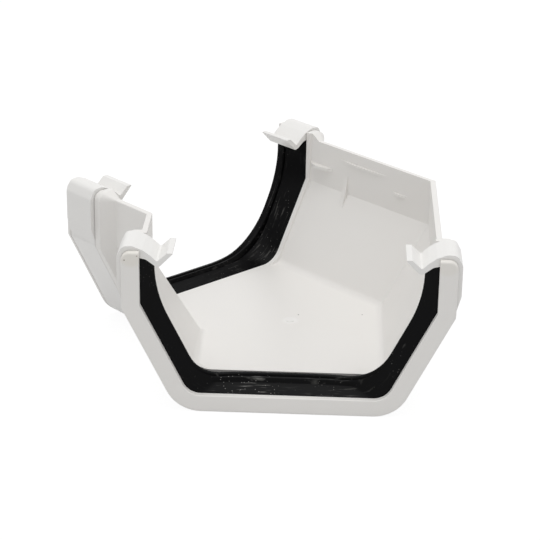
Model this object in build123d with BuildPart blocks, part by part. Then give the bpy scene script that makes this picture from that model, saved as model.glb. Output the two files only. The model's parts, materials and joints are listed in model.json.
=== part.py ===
from build123d import *
import os
from math import cos, radians, sin, tan

# Gutter angle: a 135 degree corner piece with a rubber-sealed socket at each end.
# The two arms mirror each other about X = 0, the outer corner points along +Y,
# +Z is up, and the origin is under the middle of the whole piece.

os.makedirs("parts", exist_ok=True)

# Plan
turn_angle = 135.0
arm_length = 77.6

# Outline of the socket's outside
socket_half = 69.5
fold_height = 46.6
floor_half = 46.4
floor_corner_r = 16.0
side_slope = 26.36
wall_top = 70.2
rim_top = 72.0
rib_top = 72.6

# Places along the socket, from its mouth
rim_depth = 2.6
rib_front = 21.1
rib_depth = 3.6
ramp_depth = 4.8
groove_back = 21.3
shoulder_depth = 2.4
shoulder_ramp = 0.3

# Depths into the socket's wall, from its outside
strap_thickness = 2.3
strap_fit = 0.2
groove_inset = 5.1
rim_inset = 7.7
rim_edge_r = 1.1
rim_lip_chamfer = 0.3
rim_shoulder_r = 4.0

# Trough between the sockets, inside
trough_half = 61.5
trough_fold = 48.3
trough_floor_half = 40.7
trough_floor = 9.9
trough_corner_r = 4.5
trough_wall = 2.5
trough_top = 69.7
trough_edge_r = 0.5

# Shoulder behind the seal: how far it stands into the trough's way at its sides
shoulder_step = 0.8
shoulder_fold_rise = 0.5
shoulder_corner_r = 11.0

# Moulded webs and marks inside the outer wall
gusset_height = 57.4
gusset_length = 15.2
gusset_reach = 2.6
gusset_thickness = 1.6
fold_rib_place = 48.7
fold_rib_rise = 9.9
fold_rib_drop = 7.0
fold_rib_width = 2.4
fold_rib_reach = 1.7
bead_height = 64.0
bead_start = 43.6
bead_length = 32.3
short_bead_height = 57.4
short_bead_start = 79.6
short_bead_length = 9.6
bead_width = 1.2
bead_reach = 0.9
root = 0.8

# Gate mark on the floor, from the crossing of the two centre lines
gate_across = 1.8
gate_back = 1.9
gate_r = 2.0
gate_rise = 0.25

# Strap that clips round the socket
strap_front_gap = 0.3
strap_back_gap = 0.3
leg_foot_rise = 1.8
leg_lean = 7.0
leg_reach = 1.9
hook_clearance = 0.3

# Seal
seal_end_gap = 0.1
crest_place = 10.0
crest_inset = 14.0
crest_half = 0.4
seal_rib_pitch = 2.0
seal_rib_inset = 13.4
seal_rib_half = 0.3
seal_groove_inset = 12.6
seal_band_inset = 12.9
seal_tail_inset = 8.0
seal_front_r = 8.0
seal_crest_r = 15.0
seal_tail_r = 10.0
seal_top_gap = 0.3

over_top = 12.0

# The hook's underside, from the bend of its tab to the wall's inside,
# as (depth in from the socket's side, height over the wall's top)
hook_under = [(15.8, -5.4), (13.8, -4.9), (10.2, -2.2), (7.4, -1.6),
              (groove_inset + hook_clearance, hook_clearance)]

# The hook's upper side, from the end of its tab to the top of the outer leg
hook_over = [(21.8, 0.8), (19.0, 0.8), (14.9, -3.0), (12.1, -0.3), (8.9, 2.0), (4.6, 3.7),
             (0.4, 3.4), (-leg_reach, -1.2)]
hook_radii = [0.3, 0.5, 0.8, 1.5, 3.0, 4.0, 3.0, 3.0, 4.0, 0, 0, 4.0, 0.8, 0.3, 0.4, 0.8, 2.5, 1.2, 1.0]

dip = radians(180 - turn_angle) / 2
slope = radians(side_slope)
front_reach = (arm_length - rim_depth - strap_front_gap) * sin(dip) + (socket_half + leg_reach) * cos(dip)
back_reach = (trough_half + trough_wall) / cos(dip)
crossing = Vector(0, (front_reach - back_reach) / 2, 0)
arm = Vector(cos(dip), -sin(dip), 0)
left_arm = Vector(-cos(dip), -sin(dip), 0)
outward = Vector(sin(dip), cos(dip), 0)
left_outward = Vector(-sin(dip), cos(dip), 0)
past_mitre = arm_length + (socket_half + leg_reach) * tan(dip)
shoulder_back = groove_back + shoulder_depth
trough_front = shoulder_back + shoulder_ramp
open_top = rim_top + over_top


# Plane across the right arm at a depth from its mouth, local x towards the inner corner
def across(depth):
    return Plane(origin=crossing + arm * (arm_length - depth), x_dir=-outward, z_dir=-arm)


# Level plane at a height, local x inwards from an arm's mouth, local y towards the outer corner
def level(direction, side, height):
    origin = crossing + direction * arm_length + Vector(0, 0, height)
    return Plane(origin=origin, x_dir=-direction, z_dir=side.cross(direction))


# Closed outline of a channel, folded at its sides and rounded at its floor
def channel(plane, half, fold, floor_width, floor, top, corner_r, shoulder_r=0):
    with BuildSketch(plane) as outline:
        with BuildLine():
            Polyline((-half, top), (-half, fold), (-floor_width, floor), (floor_width, floor),
                     (half, fold), (half, top), close=True)
        make_face()
        fillet(outline.vertices().group_by(Axis.Y)[0], corner_r)
        if shoulder_r:
            fillet(outline.vertices().group_by(Axis.Y)[-1], shoulder_r)
    return outline.sketch


# The socket's outline, moved into its wall by an inset
def socket_outline(depth, inset, top, corner_r, shoulder_r=0):
    return channel(across(depth), socket_half - inset, fold_height + inset * tan(slope / 2),
                   floor_half - inset * tan(radians(45) - slope / 2), inset, top, corner_r, shoulder_r)


# The trough's outline, moved outwards by its wall
def trough_outline(depth, wall, top, edge_r=0):
    return channel(across(depth), trough_half + wall, trough_fold - wall * tan(slope / 2),
                   trough_floor_half + wall * tan(radians(45) - slope / 2), trough_floor - wall, top,
                   trough_corner_r + wall, edge_r)


# The shoulder's outline, level with the trough's floor
def shoulder_outline(depth, top):
    return channel(across(depth), trough_half - shoulder_step, trough_fold + shoulder_fold_rise,
                   trough_floor_half - shoulder_step, trough_floor, top, shoulder_corner_r)


# Level outline of a low fin, bowed out of the trough's outer wall and rooted in it
def fin(plane, start, length, reach):
    end = start + length
    with BuildSketch(plane) as outline:
        with BuildLine():
            ThreePointArc((start, trough_half), (start + length / 2, trough_half - reach), (end, trough_half))
            Polyline((end, trough_half), (end, trough_half + root), (start, trough_half + root),
                     (start, trough_half))
        make_face()
    return outline.sketch


# The face of a part that looks out of the right mouth
def mouth_face(part):
    out_of_mouth = Axis(crossing, arm)
    return part.faces().filter_by(out_of_mouth).sort_by(out_of_mouth)[-1]


with BuildPart() as angle_body:
    # Rim at the mouth, rounded at the front
    extrude(socket_outline(0, 0, rim_top, floor_corner_r, rim_shoulder_r), rim_depth)
    fillet(mouth_face(angle_body).edges(), rim_edge_r)

    # Thin wall that the strap lies round, and the rib behind it
    seat_inset = strap_thickness + strap_fit
    extrude(socket_outline(rim_depth, seat_inset, wall_top, floor_corner_r - seat_inset),
            rib_front - rim_depth)
    extrude(socket_outline(rib_front, 0, rib_top, floor_corner_r, rim_shoulder_r), rib_depth)

    # Ramp down to the trough, then the trough itself as far as the mitre
    ramp_front = rib_front + rib_depth
    ramp_back = ramp_front + ramp_depth
    loft([socket_outline(ramp_front, 0, rib_top, floor_corner_r, rim_shoulder_r),
          trough_outline(ramp_back, trough_wall, trough_top, trough_edge_r)], ruled=True)
    extrude(trough_outline(ramp_back, trough_wall, trough_top, trough_edge_r), past_mitre - ramp_back)

    # Hollow: mouth, seal groove, shoulder and trough
    mouth_hollow = socket_outline(0, rim_inset, open_top, floor_corner_r - rim_inset)
    extrude(mouth_hollow, rim_depth, mode=Mode.SUBTRACT)
    extrude(socket_outline(rim_depth, groove_inset, open_top, floor_corner_r - groove_inset),
            groove_back - rim_depth, mode=Mode.SUBTRACT)
    extrude(shoulder_outline(groove_back, open_top), shoulder_depth, mode=Mode.SUBTRACT)
    loft([shoulder_outline(shoulder_back, open_top), trough_outline(trough_front, 0, open_top)],
         ruled=True, mode=Mode.SUBTRACT)
    extrude(trough_outline(trough_front, 0, open_top), past_mitre - trough_front, mode=Mode.SUBTRACT)
    lip = [edge for edge in mouth_face(angle_body).edges() if mouth_hollow.distance_to(edge.center()) < 0.01]
    chamfer(lip, rim_lip_chamfer)

    # Low fin behind the shoulder on the outer wall
    extrude(fin(level(arm, outward, gusset_height), shoulder_back, gusset_length, gusset_reach),
            gusset_thickness / 2, both=True)

    # Low rib over the fold of the outer wall
    with BuildSketch(across(fold_rib_place)):
        fold_run = (trough_half - trough_floor_half) / (trough_fold - trough_floor)
        rib_high = (-trough_half, trough_fold + fold_rib_rise)
        rib_low = (-trough_half + fold_rib_drop * fold_run, trough_fold - fold_rib_drop)
        with BuildLine():
            ThreePointArc(rib_high, (fold_rib_reach - trough_half, trough_fold), rib_low)
            Polyline(rib_low, (rib_low[0] - root, rib_low[1]), (-trough_half - root, trough_fold),
                     (-trough_half - root, rib_high[1]), rib_high)
        make_face()
    extrude(amount=fold_rib_width / 2, both=True)

    # The left arm is this one seen in the mirror
    split(bisect_by=Plane.YZ, keep=Keep.TOP)
    mirror(about=Plane.YZ)

    # Two fine beads inside the left arm's outer wall
    for height, start, length in ((bead_height, bead_start, bead_length),
                                  (short_bead_height, short_bead_start, short_bead_length)):
        extrude(fin(level(left_arm, left_outward, height), start, length, bead_reach),
                bead_width / 2, both=True)

    # Gate mark on the floor
    with BuildSketch(Plane.XY.offset(trough_floor - root)):
        with Locations((gate_across, crossing.Y - gate_back)):
            Circle(gate_r)
    extrude(amount=root + gate_rise)


band_top = fold_height + leg_foot_rise
strap_front = rim_depth + strap_front_gap
strap_back = rib_front - strap_back_gap

with BuildPart() as strap_right:
    # Flat band round the outside of the socket, up to the foot of the legs
    extrude(socket_outline(strap_front, 0, band_top, floor_corner_r), strap_back - strap_front)
    extrude(socket_outline(strap_front, strap_thickness, open_top, floor_corner_r - strap_thickness),
            strap_back - strap_front, mode=Mode.SUBTRACT)

    # Legs that lean out a little, and a hook over each top edge
    foot, straight = band_top - wall_top, band_top + leg_lean - wall_top
    leg_inside = strap_thickness - leg_reach
    leg = [(-leg_reach, straight), (0, foot), (strap_thickness, foot), (leg_inside, straight),
           (leg_inside, -leg_inside), (strap_thickness, hook_clearance)]
    hook_outline = hook_over + leg + hook_under[::-1]
    with BuildSketch(across(strap_front)):
        for side in (-1, 1):
            with BuildLine():
                hook = [(side * (socket_half - inward), wall_top + up) for inward, up in hook_outline]
                FilletPolyline(hook, radius=hook_radii, close=True)
            make_face()
    extrude(amount=strap_back - strap_front)

with BuildPart() as strap_left:
    mirror(strap_right.part, about=Plane.YZ)


seal_front = rim_depth + seal_end_gap
seal_back = groove_back - seal_end_gap
flank_back = crest_place - seal_rib_pitch - seal_rib_half
band_front = crest_place + seal_rib_pitch + seal_rib_half

# Lip zone from front to back, as (where a step ends, its inset): a thin rib each side of the crest
lip_steps = [(crest_place - seal_rib_pitch + seal_rib_half, seal_rib_inset),
             (crest_place - crest_half, seal_groove_inset),
             (crest_place + crest_half, crest_inset),
             (crest_place + seal_rib_pitch - seal_rib_half, seal_groove_inset),
             (band_front, seal_rib_inset)]

with BuildPart() as seal_right:
    # Block that fills the groove
    extrude(socket_outline(seal_front, groove_inset, wall_top, floor_corner_r - groove_inset),
            seal_back - seal_front)

    # Flank at the mouth, stepped lip zone and sloping band
    loft([socket_outline(seal_front, rim_inset, open_top, seal_front_r),
          socket_outline(flank_back, seal_groove_inset, open_top, seal_crest_r)],
         ruled=True, mode=Mode.SUBTRACT)
    step_front = flank_back
    for step_back, inset in lip_steps:
        extrude(socket_outline(step_front, inset, open_top, seal_crest_r),
                step_back - step_front, mode=Mode.SUBTRACT)
        step_front = step_back
    loft([socket_outline(band_front, seal_band_inset, open_top, seal_crest_r),
          socket_outline(seal_back, seal_tail_inset, open_top, seal_tail_r)],
         ruled=True, mode=Mode.SUBTRACT)

    # Ends cut to lie just under the hooks
    with BuildSketch(across(seal_front)):
        for side in (-1, 1):
            cut = [(side * (socket_half - inward), wall_top + up - seal_top_gap) for inward, up in hook_under]
            with BuildLine():
                Polyline(*cut, (side * socket_half, cut[-1][1]), (side * socket_half, open_top),
                         (cut[0][0], open_top), close=True)
            make_face()
    extrude(amount=seal_back - seal_front, mode=Mode.SUBTRACT)

with BuildPart() as seal_left:
    mirror(seal_right.part, about=Plane.YZ)


angle_body.part.label = "angle_body"
strap_right.part.label = "strap_right"
strap_left.part.label = "strap_left"
seal_right.part.label = "seal_right"
seal_left.part.label = "seal_left"

export_step(angle_body.part, "parts/angle_body.step")
export_step(strap_right.part, "parts/strap_right.step")
export_step(strap_left.part, "parts/strap_left.step")
export_step(seal_right.part, "parts/seal_right.step")
export_step(seal_left.part, "parts/seal_left.step")
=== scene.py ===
import json
import math
import bpy
from mathutils import Matrix, Vector


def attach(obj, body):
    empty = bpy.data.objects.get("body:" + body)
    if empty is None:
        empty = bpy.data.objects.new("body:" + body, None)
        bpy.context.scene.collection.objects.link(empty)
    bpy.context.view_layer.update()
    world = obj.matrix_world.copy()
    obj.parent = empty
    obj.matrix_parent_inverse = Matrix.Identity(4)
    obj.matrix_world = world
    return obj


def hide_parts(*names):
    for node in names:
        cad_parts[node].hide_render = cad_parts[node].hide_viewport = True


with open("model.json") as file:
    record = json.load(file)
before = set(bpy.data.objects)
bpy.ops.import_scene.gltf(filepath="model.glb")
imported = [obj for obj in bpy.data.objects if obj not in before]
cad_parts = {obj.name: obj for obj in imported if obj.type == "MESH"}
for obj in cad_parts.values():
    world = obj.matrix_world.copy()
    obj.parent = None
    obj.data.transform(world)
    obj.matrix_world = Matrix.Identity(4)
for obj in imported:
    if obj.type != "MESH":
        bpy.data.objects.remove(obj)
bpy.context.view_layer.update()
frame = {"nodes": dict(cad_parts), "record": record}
mm = 0.001
print("frame loaded:", ", ".join(sorted(frame["nodes"])))


def linearColour(hexCode):
    # sRGB hex to linear RGBA
    values = [int(hexCode[i:i + 2], 16) / 255 for i in (1, 3, 5)]
    return [c / 12.92 if c <= 0.04045 else ((c + 0.055) / 1.055) ** 2.4 for c in values] + [1.0]


def addNode(tree, kind, inputs=None, **settings):
    # one node with its settings; an input is a value or another node's output
    node = tree.nodes.new(kind)
    for name, value in settings.items():
        setattr(node, name, value)
    for socket, value in (inputs or {}).items():
        if isinstance(value, bpy.types.NodeSocket):
            tree.links.new(value, node.inputs[socket])
        else:
            node.inputs[socket].default_value = value
    return node


def emptyMaterial(name):
    material = bpy.data.materials.new(name)
    material.use_nodes = True
    material.node_tree.nodes.clear()
    return material, material.node_tree


solidShare = 0.6    # how much of a mark's radius is full, before it fades out


def markMask(tree, place, centre, radius, share):
    # share inside a ball round a point, fading to 0 at its edge
    away = addNode(tree, "ShaderNodeVectorMath", {0: place, 1: [c * mm for c in centre]},
                   operation="DISTANCE")
    return addNode(tree, "ShaderNodeMapRange", {
        "Value": away.outputs["Value"], "From Min": radius * mm,
        "From Max": radius * mm * solidShare, "To Min": 0.0, "To Max": share},
        interpolation_type="SMOOTHSTEP").outputs["Result"]


# Rigid PVC, injection moulded: bright, a little warm, satin, with a faint ripple left by the mould
pvc = dict(
    bodyHex="#efedea", strapHex="#f0efed", shadeHex="#e8e5e0", shadeShare=0.35,
    roughness=0.34, roughnessSpread=0.08, ior=1.53,
    cloudMm=42.0, cloudDetail=3.0,      # slow drift in tone
    rippleMm=11.0, rippleDetail=1.0,    # flow ripple on the broad faces
    grainMm=0.8, grainDetail=2.0,       # mould grain, drawn coarse enough to show
    rippleLift=0.25, grainLift=0.02,    # heights in mm
    bumpStrength=0.5,
)


def makePvc(name, baseHex, marks):
    material, tree = emptyMaterial(name)
    place = addNode(tree, "ShaderNodeTexCoord").outputs["Object"]
    cloud = addNode(tree, "ShaderNodeTexNoise", {
        "Vector": place, "Scale": 1 / (pvc["cloudMm"] * mm), "Detail": pvc["cloudDetail"]})
    shade = addNode(tree, "ShaderNodeMath", {0: cloud.outputs["Fac"], 1: pvc["shadeShare"]},
                    operation="MULTIPLY")
    # sockets 6 and 7 of the mix node are its two colours, output 2 the mixed one
    tone = addNode(tree, "ShaderNodeMix", {
        0: shade.outputs["Value"], 6: linearColour(baseHex), 7: linearColour(pvc["shadeHex"])},
        data_type="RGBA").outputs[2]
    for mark in marks:
        mask = markMask(tree, place, mark["at"], mark["radius"], mark["share"])
        tone = addNode(tree, "ShaderNodeMix", {0: mask, 6: tone, 7: linearColour(mark["hexCode"])},
                       data_type="RGBA").outputs[2]
    ripple = addNode(tree, "ShaderNodeTexNoise", {
        "Vector": place, "Scale": 1 / (pvc["rippleMm"] * mm), "Detail": pvc["rippleDetail"]})
    grain = addNode(tree, "ShaderNodeTexNoise", {
        "Vector": place, "Scale": 1 / (pvc["grainMm"] * mm), "Detail": pvc["grainDetail"]})
    gloss = addNode(tree, "ShaderNodeMapRange", {
        "Value": ripple.outputs["Fac"], "To Min": pvc["roughness"],
        "To Max": pvc["roughness"] + pvc["roughnessSpread"]})
    wave = addNode(tree, "ShaderNodeBump", {
        "Height": ripple.outputs["Fac"], "Distance": pvc["rippleLift"] * mm,
        "Strength": pvc["bumpStrength"]})
    skin = addNode(tree, "ShaderNodeBump", {
        "Height": grain.outputs["Fac"], "Distance": pvc["grainLift"] * mm,
        "Strength": pvc["bumpStrength"], "Normal": wave.outputs["Normal"]})
    shader = addNode(tree, "ShaderNodeBsdfPrincipled", {
        "Base Color": tone, "Roughness": gloss.outputs["Result"], "IOR": pvc["ior"],
        "Normal": skin.outputs["Normal"]})
    addNode(tree, "ShaderNodeOutputMaterial", {"Surface": shader.outputs["BSDF"]})
    return material


# Extruded EPDM rubber: near black, dull sheen, with white dust rubbed along its length
rubber = dict(
    baseHex="#060607", dustHex="#a9a8a4", roughness=0.38, sheen=0.08, ior=1.5,
    streakMm=(0.7, 9.0), streakDetail=4.0,    # dust streaks: across and along the seal
    streakFrom=0.58, streakTo=0.78, streakShare=0.5,
    speckMm=1.6, speckEdge=0.16, speckCore=0.08, speckShare=0.6,    # single grains of dust
    patchMm=24, patchDetail=2.0, patchFrom=0.5, patchTo=0.68,
    everywhere=0.22,    # share of the dust outside the dusty places
    grainMm=0.5, grainLift=0.03, grainStrength=0.6,
)


def makeRubber(name, armDegrees, dusty):
    # the pattern is turned: its first axis runs through the socket, the others along the seal
    material, tree = emptyMaterial(name)
    place = addNode(tree, "ShaderNodeTexCoord").outputs["Object"]
    across, along = rubber["streakMm"]
    turned = addNode(tree, "ShaderNodeVectorRotate", {
        "Vector": place, "Angle": math.radians(armDegrees)}, rotation_type="Z_AXIS")
    stretched = addNode(tree, "ShaderNodeVectorMath", {
        0: turned.outputs["Vector"], 1: [1 / (across * mm), 1 / (along * mm), 1 / (along * mm)]},
        operation="MULTIPLY")
    streak = addNode(tree, "ShaderNodeTexNoise", {
        "Vector": stretched.outputs["Vector"], "Scale": 1.0, "Detail": rubber["streakDetail"]})
    patch = addNode(tree, "ShaderNodeTexNoise", {
        "Vector": place, "Scale": 1 / (rubber["patchMm"] * mm), "Detail": rubber["patchDetail"]})
    speck = addNode(tree, "ShaderNodeTexVoronoi", {
        "Vector": place, "Scale": 1 / (rubber["speckMm"] * mm)})
    streakMask = addNode(tree, "ShaderNodeMapRange", {
        "Value": streak.outputs["Fac"], "From Min": rubber["streakFrom"],
        "From Max": rubber["streakTo"], "To Max": rubber["streakShare"]})
    speckMask = addNode(tree, "ShaderNodeMapRange", {
        "Value": speck.outputs["Distance"], "From Min": rubber["speckEdge"],
        "From Max": rubber["speckCore"], "To Max": rubber["speckShare"]})
    loose = addNode(tree, "ShaderNodeMapRange", {
        "Value": patch.outputs["Fac"], "From Min": rubber["patchFrom"],
        "From Max": rubber["patchTo"], "To Max": rubber["everywhere"]}).outputs["Result"]
    for centre, radius, share in dusty:
        near = markMask(tree, place, centre, radius, share)
        loose = addNode(tree, "ShaderNodeMath", {0: loose, 1: near},
                        operation="MAXIMUM").outputs["Value"]
    rubbed = addNode(tree, "ShaderNodeMath", {0: streakMask.outputs["Result"], 1: loose},
                     operation="MULTIPLY")
    dotted = addNode(tree, "ShaderNodeMath", {0: speckMask.outputs["Result"], 1: loose},
                     operation="MULTIPLY")
    dust = addNode(tree, "ShaderNodeMath", {
        0: rubbed.outputs["Value"], 1: dotted.outputs["Value"]}, operation="MAXIMUM")
    tone = addNode(tree, "ShaderNodeMix", {
        0: dust.outputs["Value"], 6: linearColour(rubber["baseHex"]),
        7: linearColour(rubber["dustHex"])}, data_type="RGBA").outputs[2]
    grain = addNode(tree, "ShaderNodeTexNoise", {
        "Vector": place, "Scale": 1 / (rubber["grainMm"] * mm)})
    skin = addNode(tree, "ShaderNodeBump", {
        "Height": grain.outputs["Fac"], "Distance": rubber["grainLift"] * mm,
        "Strength": rubber["grainStrength"]})
    shader = addNode(tree, "ShaderNodeBsdfPrincipled", {
        "Base Color": tone, "Roughness": rubber["roughness"], "IOR": rubber["ior"],
        "Specular IOR Level": rubber["sheen"], "Normal": skin.outputs["Normal"]})
    addNode(tree, "ShaderNodeOutputMaterial", {"Surface": shader.outputs["BSDF"]})
    return material


def onlySelect(piece):
    bpy.ops.object.select_all(action="DESELECT")
    piece.select_set(True)
    bpy.context.view_layer.objects.active = piece


# Each moulding is dressed from its solid: faces joined, edges softened as they leave the mould
edges = dict(joinMm=0.002, flatDegrees=0.6, sharpDegrees=28.0, smoothDegrees=32.0, segments=2)


def dressNode(node, name, material, edgeMm):
    mesh = frame["nodes"][node].data.copy()
    piece = bpy.data.objects.new(name, mesh)
    bpy.context.scene.collection.objects.link(piece)
    onlySelect(piece)
    bpy.ops.object.mode_set(mode="EDIT")
    bpy.ops.mesh.select_all(action="SELECT")
    bpy.ops.mesh.remove_doubles(threshold=edges["joinMm"] * mm)
    bpy.ops.mesh.dissolve_limited(angle_limit=math.radians(edges["flatDegrees"]))
    bpy.ops.object.mode_set(mode="OBJECT")
    bevel = piece.modifiers.new("softened edges", "BEVEL")
    bevel.width = edgeMm * mm
    bevel.segments = edges["segments"]
    bevel.limit_method = "ANGLE"
    bevel.angle_limit = math.radians(edges["sharpDegrees"])
    bevel.use_clamp_overlap = True
    bpy.ops.object.modifier_apply(modifier=bevel.name)
    bpy.ops.object.shade_smooth_by_angle(angle=math.radians(edges["smoothDegrees"]))
    flat = piece.modifiers.new("flat faces stay flat", "WEIGHTED_NORMAL")
    flat.keep_sharp = True
    bpy.ops.object.modifier_apply(modifier=flat.name)
    mesh.materials.clear()
    mesh.materials.append(material)
    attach(piece, "root")
    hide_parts(node)
    print("dressed", name, "with", len(mesh.polygons), "faces")


# Marks: centre and radius in mm, colour, how much of it shows
body = dict(
    edgeMm=0.35,
    marks=[
        dict(at=(-3.0, 16.7, 9.9), radius=0.42, hexCode="#4a453c", share=0.9),    # floor specks
        dict(at=(6.2, 44.8, 9.9), radius=0.36, hexCode="#4a453c", share=0.9),
        dict(at=(45.7, -79.7, 68.7), radius=0.40, hexCode="#57492f", share=0.9),    # rim specks
        dict(at=(44.4, -75.2, 71.9), radius=0.45, hexCode="#6b5a38", share=0.8),
        dict(at=(47.7, -74.9, 70.6), radius=0.35, hexCode="#6b5a38", share=0.8),
        dict(at=(1.8, 10.7, 9.9), radius=4.5, hexCode="#f8f8f7", share=0.35),    # pale gate mark
        dict(at=(46.7, -76.8, 71.0), radius=6.5, hexCode="#e3ddcf", share=0.35),    # yellowed rim
        dict(at=(97.2, 42.7, 71.0), radius=6.5, hexCode="#e3ddcf", share=0.25),
    ],
)
strap = dict(edgeMm=0.2)    # a wider edge spoils the faces on its sides

bodyPvc = makePvc("moulded white PVC", pvc["bodyHex"], body["marks"])
strapPvc = makePvc("moulded white PVC of the straps", pvc["strapHex"], [])
dressNode("angle_body", "mouldedBody", bodyPvc, body["edgeMm"])
dressNode("strap_right", "rightStrap", strapPvc, strap["edgeMm"])
dressNode("strap_left", "leftStrap", strapPvc, strap["edgeMm"])

# The seal lies in the socket's groove. Its lip runs round nearer to the mouth up the sides than
# along the floor, which no extrusion gives, so it is laid out in rows. Each row of its section has,
# in mm: depth from the mouth on the floor and at the sides, depth into the channel on the floor,
# slope and side, and how round the row runs over the fold and the floor's corner
seal = dict(
    rows=[
        (2.7, 2.7, 5.1, 5.1, 5.1, 1, 10.9),          # groove, front
        (2.7, 2.7, 7.7, 7.7, 7.7, 2, 8.3),           # level with the rim
        (4.2, 3.3, 8.8, 9.6, 9.6, 16, 11),           # crease along the flank
        (7.9, 4.8, 10.9, 12.9, 12.4, 40, 19),        # top of the flank
        (8.3, 5.0, 13.0, 13.3, 12.7, 54, 24),        # front rib
        (9.1, 5.2, 13.3, 13.6, 12.9, 56, 25),
        (9.4, 5.35, 12.5, 13.4, 12.7, 56, 25),
        (10.1, 5.6, 12.5, 13.5, 12.8, 56, 25),
        (10.5, 5.9, 13.9, 14.4, 13.4, 60, 25),       # crest
        (11.2, 6.5, 14.05, 14.5, 13.5, 60, 25),
        (11.6, 7.7, 12.9, 14.0, 13.1, 58, 25),
        (12.0, 8.3, 12.9, 13.9, 13.0, 58, 25),
        (12.3, 8.7, 13.5, 13.8, 12.9, 56, 24),       # back rib
        (12.9, 9.1, 13.5, 13.5, 12.6, 56, 24),
        (13.3, 9.4, 11.5, 12.4, 11.6, 50, 20),       # foot of the rib
        (13.7, 9.9, 11.4, 12.4, 11.6, 50, 20),
        (14.0, 10.2, 11.8, 13.0, 12.2, 50, 19),      # band
        (17.4, 15.6, 10.0, 10.6, 10.2, 34, 14),
        (21.15, 21.15, 8.0, 8.2, 8.2, 20, 11),       # tail
        (21.15, 21.15, 5.1, 5.1, 5.1, 1, 10.9),
    ],
    crestRow=9,
    lipRadius=15,    # rows with a rounder corner than this belong to the lip
    fullFloor=10.0, fullSide=44.0,    # half widths between which a row goes over from floor to side
    shortestEnd=0.5,    # least straight run above the fold
    floorSteps=12, cornerSteps=10, slopeSteps=8, foldSteps=10, wallSteps=6,
    sharpDegrees=22.0,
)

# Each seal lies a little differently in its groove: lipLift is how much further its lip stands out
# on the slopes, in mm, and the turns scale its corners, on the side of the angle's inner corner
# and on the outer side. Each patch of dust has a centre and a radius in mm, and a share that shows
rightSeal = dict(
    lipLift=0.2, innerTurn=0.66, outerTurn=0.92, armDegrees=22.5,
    dust=[((60.1, -30.7, 9.5), 17, 1.0),
          ((74.0, 3.0, 10.5), 15, 0.45),
          ((86.5, 32.0, 24.0), 12, 0.4)],
)
leftSeal = dict(
    lipLift=-0.7, innerTurn=0.66, outerTurn=1.4, armDegrees=-22.5,
    dust=[((-72.2, 26.0, 16.0), 14, 0.5),
          ((-78.7, 36.3, 35.0), 10, 0.4),
          ((-62.0, 2.0, 11.0), 12, 0.3)],
)

# The socket that holds it, and the underside of the hook over its ends, as in the solids
socket = dict(half=69.5, fold=46.6, slopeDegrees=26.36, wallTop=70.2, hookGap=0.3,
              hookUnder=[(5.4, 0.0), (7.4, -1.6), (10.2, -2.2), (13.8, -4.9), (15.8, -5.4)])


def hookLimit(inset):
    # height of the seal's end at a depth into the channel
    points = socket["hookUnder"]
    for (a, low), (b, high) in zip(points, points[1:]):
        if inset <= b:
            share = max(0.0, (inset - a) / (b - a))
            return socket["wallTop"] - socket["hookGap"] + low + share * (high - low)
    return socket["wallTop"] - socket["hookGap"] + points[-1][1]


def arc(centre, radius, start, end, steps):
    return [(centre[0] + radius * math.cos(a), centre[1] + radius * math.sin(a))
            for a in (start + (end - start) * i / steps for i in range(1, steps))]


def spread(first, last, steps):
    runX, runZ = last[0] - first[0], last[1] - first[1]
    return [(first[0] + runX * i / steps, first[1] + runZ * i / steps) for i in range(steps + 1)]


def halfOutline(floor, slopeInset, side, foldRadius, cornerRadius):
    # one row's run from the middle of the floor up to its end under the hook, as (across, height)
    lean = math.radians(socket["slopeDegrees"])
    wall = socket["half"] - side
    foldZ = socket["fold"] + (slopeInset - math.cos(lean) * side) / math.sin(lean)
    drop = math.sin(lean) * (floor - socket["fold"])
    cornerX = socket["half"] - (slopeInset - drop) / math.cos(lean)
    top = hookLimit(side)
    foldRadius = min(foldRadius, (top - foldZ - seal["shortestEnd"]) / math.tan(lean / 2))
    foldCut = foldRadius * math.tan(lean / 2)
    cornerCut = cornerRadius * math.tan((math.pi / 2 - lean) / 2)
    up = (math.sin(lean), math.cos(lean))    # direction up the slope
    cornerEnd = (cornerX + up[0] * cornerCut, floor + up[1] * cornerCut)
    foldStart = (wall - up[0] * foldCut, foldZ - up[1] * foldCut)
    cornerCentre = (cornerX - cornerCut, floor + cornerRadius)
    foldCentre = (wall - foldRadius, foldZ + foldCut)
    return (spread((0.0, floor), (cornerX - cornerCut, floor), seal["floorSteps"])
            + arc(cornerCentre, cornerRadius, -math.pi / 2, -lean, seal["cornerSteps"])
            + spread(cornerEnd, foldStart, seal["slopeSteps"])
            + arc(foldCentre, foldRadius, -lean, 0.0, seal["foldSteps"])
            + spread((wall, foldZ + foldCut), (wall, top), seal["wallSteps"]))


def floorShare(half):
    # 1 on the floor, 0 at the sides, easing over between them
    share = (seal["fullSide"] - half) / (seal["fullSide"] - seal["fullFloor"])
    share = min(1.0, max(0.0, share))
    return share * share * (3 - 2 * share)


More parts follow.
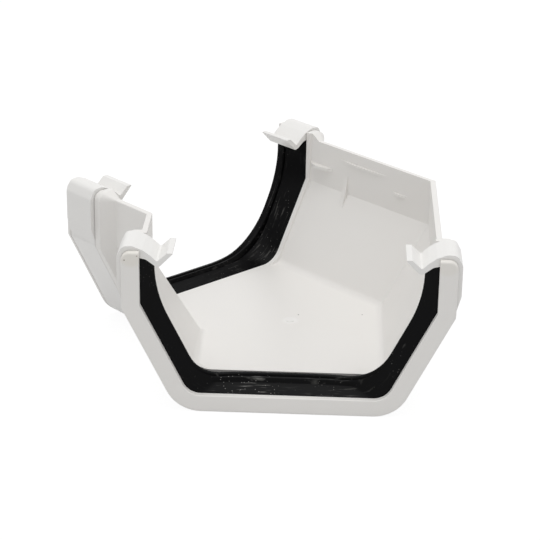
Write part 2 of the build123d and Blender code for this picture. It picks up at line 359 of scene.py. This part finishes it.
def addSeal(name, node, mountName, lie, material):
    mount = [m for m in frame["record"]["mounts"] if m["name"] == mountName][0]
    mouth = Vector(mount["pos_m"]) / mm
    along = Vector(mount["axis"])
    across = Vector((0, 0, 1)).cross(along)
    inner = -1 if across.y > 0 else 1    # side of the angle's inner corner
    crest = halfOutline(*seal["rows"][seal["crestRow"]][2:])
    verts = []
    for depthFloor, depthSide, floor, slopeInset, side, foldRadius, cornerRadius in seal["rows"]:
        lip = cornerRadius > seal["lipRadius"]
        lift = lie["lipLift"] if lip else 0.0
        halves = []
        for way in (-1, 1):
            turn = lie["innerTurn"] if way == inner else lie["outerTurn"]
            half = halfOutline(floor, slopeInset + lift, side, foldRadius,
                               cornerRadius * (turn if lip else 1.0))
            halves.append([(way * x, z, depthSide + (depthFloor - depthSide) * floorShare(crestX))
                           for (x, z), (crestX, _) in zip(half, crest)])
        run = halves[0][:0:-1] + halves[1]
        for x, z, depth in run:
            place = mouth - along * depth + across * x
            verts.append((place.x * mm, place.y * mm, z * mm))
    rowLength, rowCount = len(run), len(seal["rows"])
    faces = []
    for row in range(rowCount):
        here, there = row * rowLength, (row + 1) % rowCount * rowLength
        faces += [(here + i, here + i + 1, there + i + 1, there + i) for i in range(rowLength - 1)]
    faces += [tuple(row * rowLength for row in range(rowCount)),
              tuple(row * rowLength + rowLength - 1 for row in reversed(range(rowCount)))]
    mesh = bpy.data.meshes.new(name)
    mesh.from_pydata(verts, [], faces)
    piece = bpy.data.objects.new(name, mesh)
    bpy.context.scene.collection.objects.link(piece)
    onlySelect(piece)
    bpy.ops.object.mode_set(mode="EDIT")
    bpy.ops.mesh.select_all(action="SELECT")
    bpy.ops.mesh.normals_make_consistent(inside=False)
    bpy.ops.object.mode_set(mode="OBJECT")
    bpy.ops.object.shade_smooth_by_angle(angle=math.radians(seal["sharpDegrees"]))
    mesh.materials.append(material)
    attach(piece, "root")
    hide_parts(node)
    print("made", name, "with", len(mesh.polygons), "faces")


rightRubber = makeRubber("black EPDM rubber right", rightSeal["armDegrees"], rightSeal["dust"])
leftRubber = makeRubber("black EPDM rubber left", leftSeal["armDegrees"], leftSeal["dust"])
addSeal("rightSeal", "seal_right", "right_socket", rightSeal, rightRubber)
addSeal("leftSeal", "seal_left", "left_socket", leftSeal, leftRubber)

# White studio: the floor reads as plain white to the camera and in reflections, with a soft shadow
studio = dict(
    floorSize=8.0, floorHex="#e4e4e4", shadowShare=0.14, floorGlow=0.92,
    roomStrength=0.6, whiteStrength=1.0, topSize=1.0, topHeight=1.1, topPower=5.3,
)


def seenRays(tree):
    # 1 for what the camera, a reflection or a clear material looks at, 0 for light on the object
    path = addNode(tree, "ShaderNodeLightPath")
    seen = path.outputs["Is Camera Ray"]
    for ray in ("Is Glossy Ray", "Is Transmission Ray"):
        seen = addNode(tree, "ShaderNodeMath", {0: seen, 1: path.outputs[ray]},
                       operation="MAXIMUM").outputs["Value"]
    return seen


def addFloor():
    bpy.ops.mesh.primitive_plane_add(size=studio["floorSize"], location=(0, 0, 0))
    floor = bpy.context.active_object
    floor.name = "studioFloor"
    material, tree = emptyMaterial("white studio floor")
    plain = addNode(tree, "ShaderNodeBsdfDiffuse", {"Color": linearColour(studio["floorHex"])})
    glow = addNode(tree, "ShaderNodeEmission", {"Strength": studio["floorGlow"]})
    dim = addNode(tree, "ShaderNodeBsdfDiffuse", {"Color": [studio["shadowShare"]] * 3 + [1.0]})
    pale = addNode(tree, "ShaderNodeAddShader", {
        0: glow.outputs["Emission"], 1: dim.outputs["BSDF"]})
    shown = addNode(tree, "ShaderNodeMixShader", {
        0: seenRays(tree), 1: plain.outputs["BSDF"], 2: pale.outputs["Shader"]})
    addNode(tree, "ShaderNodeOutputMaterial", {"Surface": shown.outputs["Shader"]})
    floor.data.materials.append(material)


def addWorld():
    world = bpy.data.worlds.new("white studio")
    bpy.context.scene.world = world
    world.use_nodes = True
    tree = world.node_tree
    tree.nodes.clear()
    white = [1.0] * 4
    room = addNode(tree, "ShaderNodeBackground", {
        "Color": white, "Strength": studio["roomStrength"]})
    backdrop = addNode(tree, "ShaderNodeBackground", {
        "Color": white, "Strength": studio["whiteStrength"]})
    shown = addNode(tree, "ShaderNodeMixShader", {
        0: seenRays(tree), 1: room.outputs["Background"], 2: backdrop.outputs["Background"]})
    addNode(tree, "ShaderNodeOutputWorld", {"Surface": shown.outputs["Shader"]})


def addTopLight():
    data = bpy.data.lights.new("top light", "AREA")
    data.shape = "SQUARE"
    data.size = studio["topSize"]
    data.energy = studio["topPower"]
    lamp = bpy.data.objects.new("top light", data)
    lamp.location = (0, 0, studio["topHeight"])
    bpy.context.scene.collection.objects.link(lamp)


# The camera, as fitted to the photograph's view
camera = dict(lensMm=122.73, sensorMm=36, clipStart=0.01, azimuth=69.66, elevation=22.71,
              rollDegrees=0.855, aim=(-0.0015, 0.0018, 0.0349), distance=0.8363)


def addCamera():
    data = bpy.data.cameras.new("camera")
    data.lens = camera["lensMm"]
    data.sensor_width = camera["sensorMm"]
    data.clip_start = camera["clipStart"]
    viewer = bpy.data.objects.new("camera", data)
    bpy.context.scene.collection.objects.link(viewer)
    azimuth, elevation = math.radians(camera["azimuth"]), math.radians(camera["elevation"])
    back = Vector((math.sin(azimuth) * math.cos(elevation),
                   -math.cos(azimuth) * math.cos(elevation),
                   math.sin(elevation)))    # from the piece to the camera
    viewer.location = Vector(camera["aim"]) + back * camera["distance"]
    facing = (-back).to_track_quat("-Z", "Y").to_matrix().to_4x4()
    roll = Matrix.Rotation(math.radians(camera["rollDegrees"]), 4, "Z")
    viewer.rotation_euler = (facing @ roll).to_euler()
    bpy.context.scene.camera = viewer


addFloor()
addWorld()
addTopLight()
addCamera()
bpy.context.scene.view_settings.view_transform = "Standard"
print("studio and camera set")
